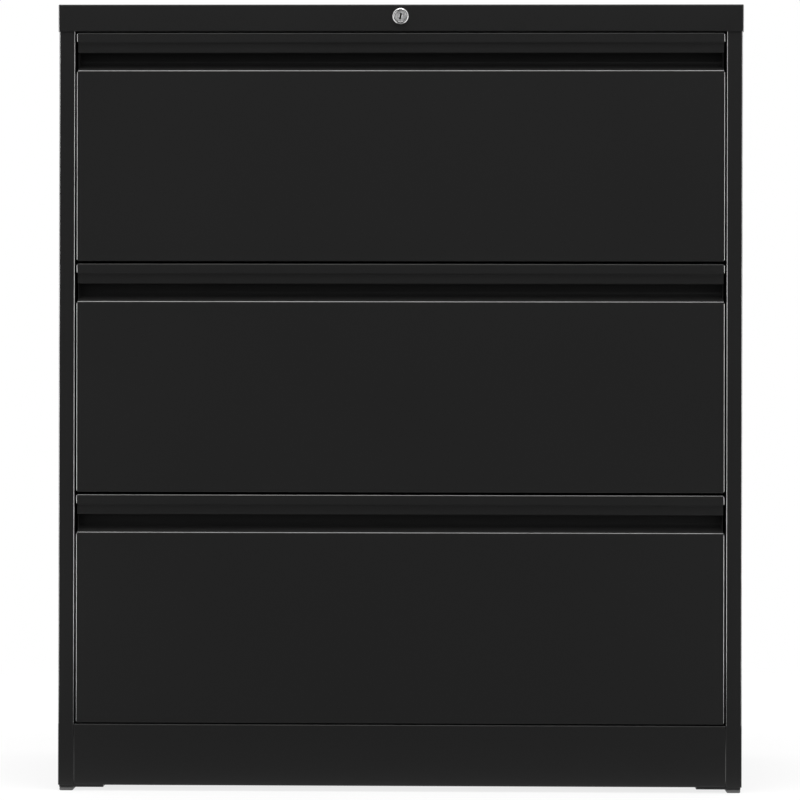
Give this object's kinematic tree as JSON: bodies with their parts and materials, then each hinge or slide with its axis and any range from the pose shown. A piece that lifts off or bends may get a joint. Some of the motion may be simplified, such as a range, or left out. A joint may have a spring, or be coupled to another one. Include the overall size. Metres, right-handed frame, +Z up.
{
  "type": "lateral filing cabinet",
  "caption": "Free-standing black steel lateral filing cabinet: wide drawers with full-width finger pulls on telescopic slides, a key lock in the top panel and levelling feet.",
  "frame": {"origin": "centre of the footprint on the floor, at the bottom of the feet", "axes": "+X to the right seen from the front, -Y out of the drawer fronts, +Z up"},
  "size_m": [0.9, 0.453, 1.034],
  "materials": {
    "case_paint": "fine-textured satin powder coat",
    "drawer_paint": "satin powder coat, thinner inside the drawers",
    "slide_steel": "bright zinc plate",
    "hanger_steel": "zinc plate",
    "lock_steel": "zinc plate",
    "lock_chrome": "polished",
    "plug_nickel": "satin nickel",
    "foot_nylon": "moulded"
  },
  "bodies": {
    "cabinet": {"top_panel": "case_paint", "side_panel_left": "case_paint", "side_panel_right": "case_paint", "back_panel": "case_paint", "base_panel": "case_paint", "kick_plate": "case_paint", "rear_upright_left": "case_paint", "rear_upright_right": "case_paint", "corner_gusset_front_left": "case_paint", "corner_gusset_front_right": "case_paint", "corner_gusset_rear_left": "case_paint", "corner_gusset_rear_right": "case_paint", "slide_outer_1_left": "slide_steel", "slide_outer_1_right": "slide_steel", "slide_outer_2_left": "slide_steel", "slide_outer_2_right": "slide_steel", "slide_outer_3_left": "slide_steel", "slide_outer_3_right": "slide_steel", "lock_housing": "lock_chrome", "lock_nut": "lock_steel", "lock_rod_hanger": "lock_steel", "lock_bar_guide_upper": "lock_steel", "lock_bar_guide_lower": "lock_steel"},
    "drawer_1": {"drawer_1_front": "case_paint", "drawer_1_front_liner": "drawer_paint", "drawer_1_tray": "drawer_paint", "drawer_1_hanger_bar_front": "hanger_steel", "drawer_1_hanger_bar_rear": "hanger_steel", "drawer_1_catch": "lock_steel", "slide_inner_1_left": "slide_steel", "slide_inner_1_right": "slide_steel"},
    "runner_1": {"slide_middle_1_left": "slide_steel", "slide_middle_1_right": "slide_steel"},
    "drawer_2": {"drawer_2_front": "case_paint", "drawer_2_front_liner": "drawer_paint", "drawer_2_tray": "drawer_paint", "drawer_2_hanger_bar_front": "hanger_steel", "drawer_2_hanger_bar_rear": "hanger_steel", "drawer_2_catch": "lock_steel", "slide_inner_2_left": "slide_steel", "slide_inner_2_right": "slide_steel"},
    "runner_2": {"slide_middle_2_left": "slide_steel", "slide_middle_2_right": "slide_steel"},
    "drawer_3": {"drawer_3_front": "case_paint", "drawer_3_front_liner": "drawer_paint", "drawer_3_tray": "drawer_paint", "drawer_3_hanger_bar_front": "hanger_steel", "drawer_3_hanger_bar_rear": "hanger_steel", "drawer_3_catch": "lock_steel", "slide_inner_3_left": "slide_steel", "slide_inner_3_right": "slide_steel"},
    "runner_3": {"slide_middle_3_left": "slide_steel", "slide_middle_3_right": "slide_steel"},
    "lock_barrel": {"lock_plug": "plug_nickel", "lock_rod": "lock_steel"},
    "lock_bar": {"lock_bar": "lock_steel"},
    "foot_front_left": {"leveller_front_left": "foot_nylon"},
    "foot_front_right": {"leveller_front_right": "foot_nylon"},
    "foot_rear_left": {"leveller_rear_left": "foot_nylon"},
    "foot_rear_right": {"leveller_rear_right": "foot_nylon"}
  },
  "joints": [
    {"name": "drawer_1_slide", "type": "slide", "parent": "cabinet", "child": "drawer_1", "axis": [0, -1, 0], "range_m": [0, 0.39]},
    {"name": "runner_1_slide", "type": "slide", "parent": "cabinet", "child": "runner_1", "axis": [0, -1, 0], "range_m": [0, 0.196]},
    {"name": "drawer_2_slide", "type": "slide", "parent": "cabinet", "child": "drawer_2", "axis": [0, -1, 0], "range_m": [0, 0.39]},
    {"name": "runner_2_slide", "type": "slide", "parent": "cabinet", "child": "runner_2", "axis": [0, -1, 0], "range_m": [0, 0.196]},
    {"name": "drawer_3_slide", "type": "slide", "parent": "cabinet", "child": "drawer_3", "axis": [0, -1, 0], "range_m": [0, 0.39]},
    {"name": "runner_3_slide", "type": "slide", "parent": "cabinet", "child": "runner_3", "axis": [0, -1, 0], "range_m": [0, 0.196]},
    {"name": "lock_turn", "type": "hinge", "parent": "cabinet", "child": "lock_barrel", "pos_m": [0, -0.2235, 1.0183], "axis": [0, 1, 0], "range_deg": [0, 90]},
    {"name": "lock_bar_lift", "type": "slide", "parent": "cabinet", "child": "lock_bar", "axis": [0, 0, 1], "range_m": [0, 0.012]},
    {"name": "foot_front_left_screw", "type": "slide", "parent": "cabinet", "child": "foot_front_left", "axis": [0, 0, -1], "range_m": [0, 0.012]},
    {"name": "foot_front_right_screw", "type": "slide", "parent": "cabinet", "child": "foot_front_right", "axis": [0, 0, -1], "range_m": [0, 0.012]},
    {"name": "foot_rear_left_screw", "type": "slide", "parent": "cabinet", "child": "foot_rear_left", "axis": [0, 0, -1], "range_m": [0, 0.012]},
    {"name": "foot_rear_right_screw", "type": "slide", "parent": "cabinet", "child": "foot_rear_right", "axis": [0, 0, -1], "range_m": [0, 0.012]}
  ],
  "couplings": [
    {"joint": "runner_1_slide", "follows": "drawer_1_slide", "ratio": 0.5},
    {"joint": "runner_2_slide", "follows": "drawer_2_slide", "ratio": 0.5},
    {"joint": "runner_3_slide", "follows": "drawer_3_slide", "ratio": 0.5},
    {"joint": "lock_turn", "follows": "lock_bar_lift", "rad_per_m": 130.9}
  ]
}
